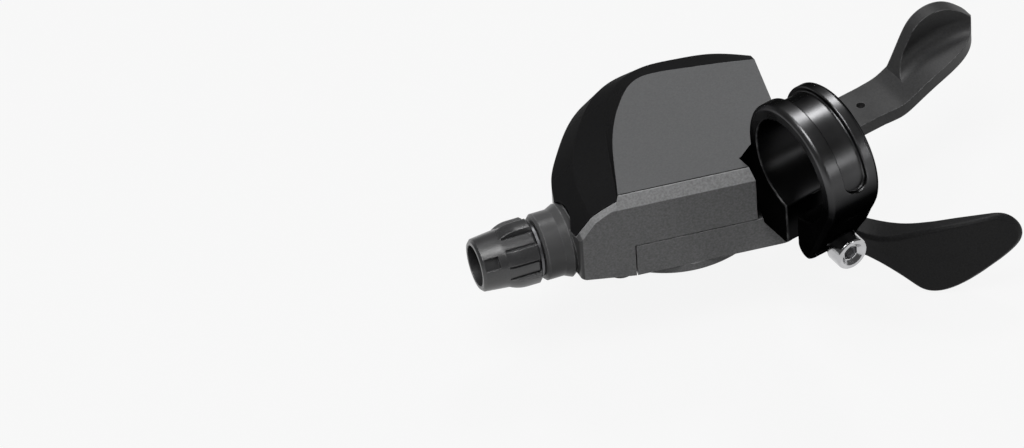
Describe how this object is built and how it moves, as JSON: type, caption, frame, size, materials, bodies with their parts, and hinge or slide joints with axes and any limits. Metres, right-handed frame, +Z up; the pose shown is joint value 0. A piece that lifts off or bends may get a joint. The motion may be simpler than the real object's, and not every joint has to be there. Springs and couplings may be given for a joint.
{
  "type": "trigger gear shifter",
  "caption": "Handlebar trigger gear shifter: clamp ring, low domed housing, thumb blade, finger release paddle and ribbed barrel adjuster, with a ratchet and cable spool inside.",
  "frame": {"origin": "centre of the handlebar clamp's bore, half way along it", "axes": "+X along the bar toward the levers, +Y forward to the housing's nose, +Z up through the top panel"},
  "size_m": [0.1203, 0.073, 0.0611],
  "materials": {
    "housing": "fine grained matte",
    "cover": "fine speckled satin paint",
    "base": "fine grained matte",
    "clamp": "gloss black anodised",
    "bolt": "bright plated",
    "screw_steel": "satin",
    "inner_steel": "pressed and ground",
    "spring": "drawn wire",
    "thumb": "satin black",
    "release": "satin dark grey",
    "bush": "plain",
    "spool": "moulded",
    "knob": "satin dark grey"
  },
  "bodies": {
    "housing": {"main_housing": "housing", "upper_cover": "cover", "base_cover": "base", "base_screws": "screw_steel", "clamp_band": "clamp", "clamp_bolt": "bolt", "bracket_screws": "screw_steel", "main_axle": "inner_steel", "axle_washer": "screw_steel", "axle_nut": "screw_steel", "top_plate": "inner_steel", "frame_post": "inner_steel", "hold_pawl_pin": "inner_steel", "release_pin": "inner_steel", "spool_spring": "spring", "hold_pawl_spring": "spring", "release_spring": "spring", "thumb_spring": "spring"},
    "thumb": {"thumb_lever": "thumb", "thumb_bush": "bush", "drive_plate": "inner_steel", "drive_pawl_pin": "inner_steel", "drive_pawl_spring": "spring"},
    "drive_pawl": {"drive_pawl": "inner_steel"},
    "spool": {"cable_spool": "spool", "index_ratchet": "inner_steel", "drive_ratchet": "inner_steel"},
    "hold_pawl": {"hold_pawl": "inner_steel"},
    "release": {"release_lever": "release"},
    "detent": {"detent_ring": "bolt", "adjuster_spring": "spring"},
    "adjuster": {"adjuster_knob": "knob", "adjuster_screw": "screw_steel"}
  },
  "joints": [
    {"name": "thumb_swing", "type": "hinge", "parent": "housing", "child": "thumb", "pos_m": [-0.01184, 0.03553, -0.0089], "axis": [0, 0, 1], "range_deg": [0, 34], "stiffness_Nm_per_rad": 0.2, "springref_deg": -20.05},
    {"name": "drive_pawl_lift", "type": "hinge", "parent": "thumb", "child": "drive_pawl", "pos_m": [-0.0239, 0.03348, -0.0284], "axis": [0, 0, -1], "range_deg": [0, 8.5], "stiffness_Nm_per_rad": 0.01, "springref_deg": -11.46},
    {"name": "spool_turn", "type": "hinge", "parent": "housing", "child": "spool", "pos_m": [-0.01184, 0.03553, -0.0089], "axis": [0, 0, 1], "range_deg": [0, 160], "stiffness_Nm_per_rad": 0.02, "springref_deg": -34.38},
    {"name": "release_swing", "type": "hinge", "parent": "housing", "child": "release", "pos_m": [0.00592, 0.03889, -0.0259], "axis": [0, 0, -1], "range_deg": [0, 17], "stiffness_Nm_per_rad": 0.1, "springref_deg": -20.05},
    {"name": "hold_pawl_lift", "type": "hinge", "parent": "housing", "child": "hold_pawl", "pos_m": [-0.00736, 0.052, -0.0199], "axis": [0, 0, 1], "range_deg": [0, 6.2]},
    {"name": "adjuster_travel", "type": "slide", "parent": "housing", "child": "detent", "axis": [-0.9688, 0.2478, 0], "range_m": [0, 0.0016]},
    {"name": "knob_turn", "type": "hinge", "parent": "detent", "child": "adjuster", "pos_m": [-0.03733, 0.03289, -0.02384], "axis": [-0.9688, 0.2478, 0], "range_deg": [0, 720]}
  ],
  "couplings": [
    {"joint": "hold_pawl_lift", "follows": "release_swing", "ratio": 0.354},
    {"joint": "knob_turn", "follows": "adjuster_travel", "rad_per_m": 7854}
  ]
}
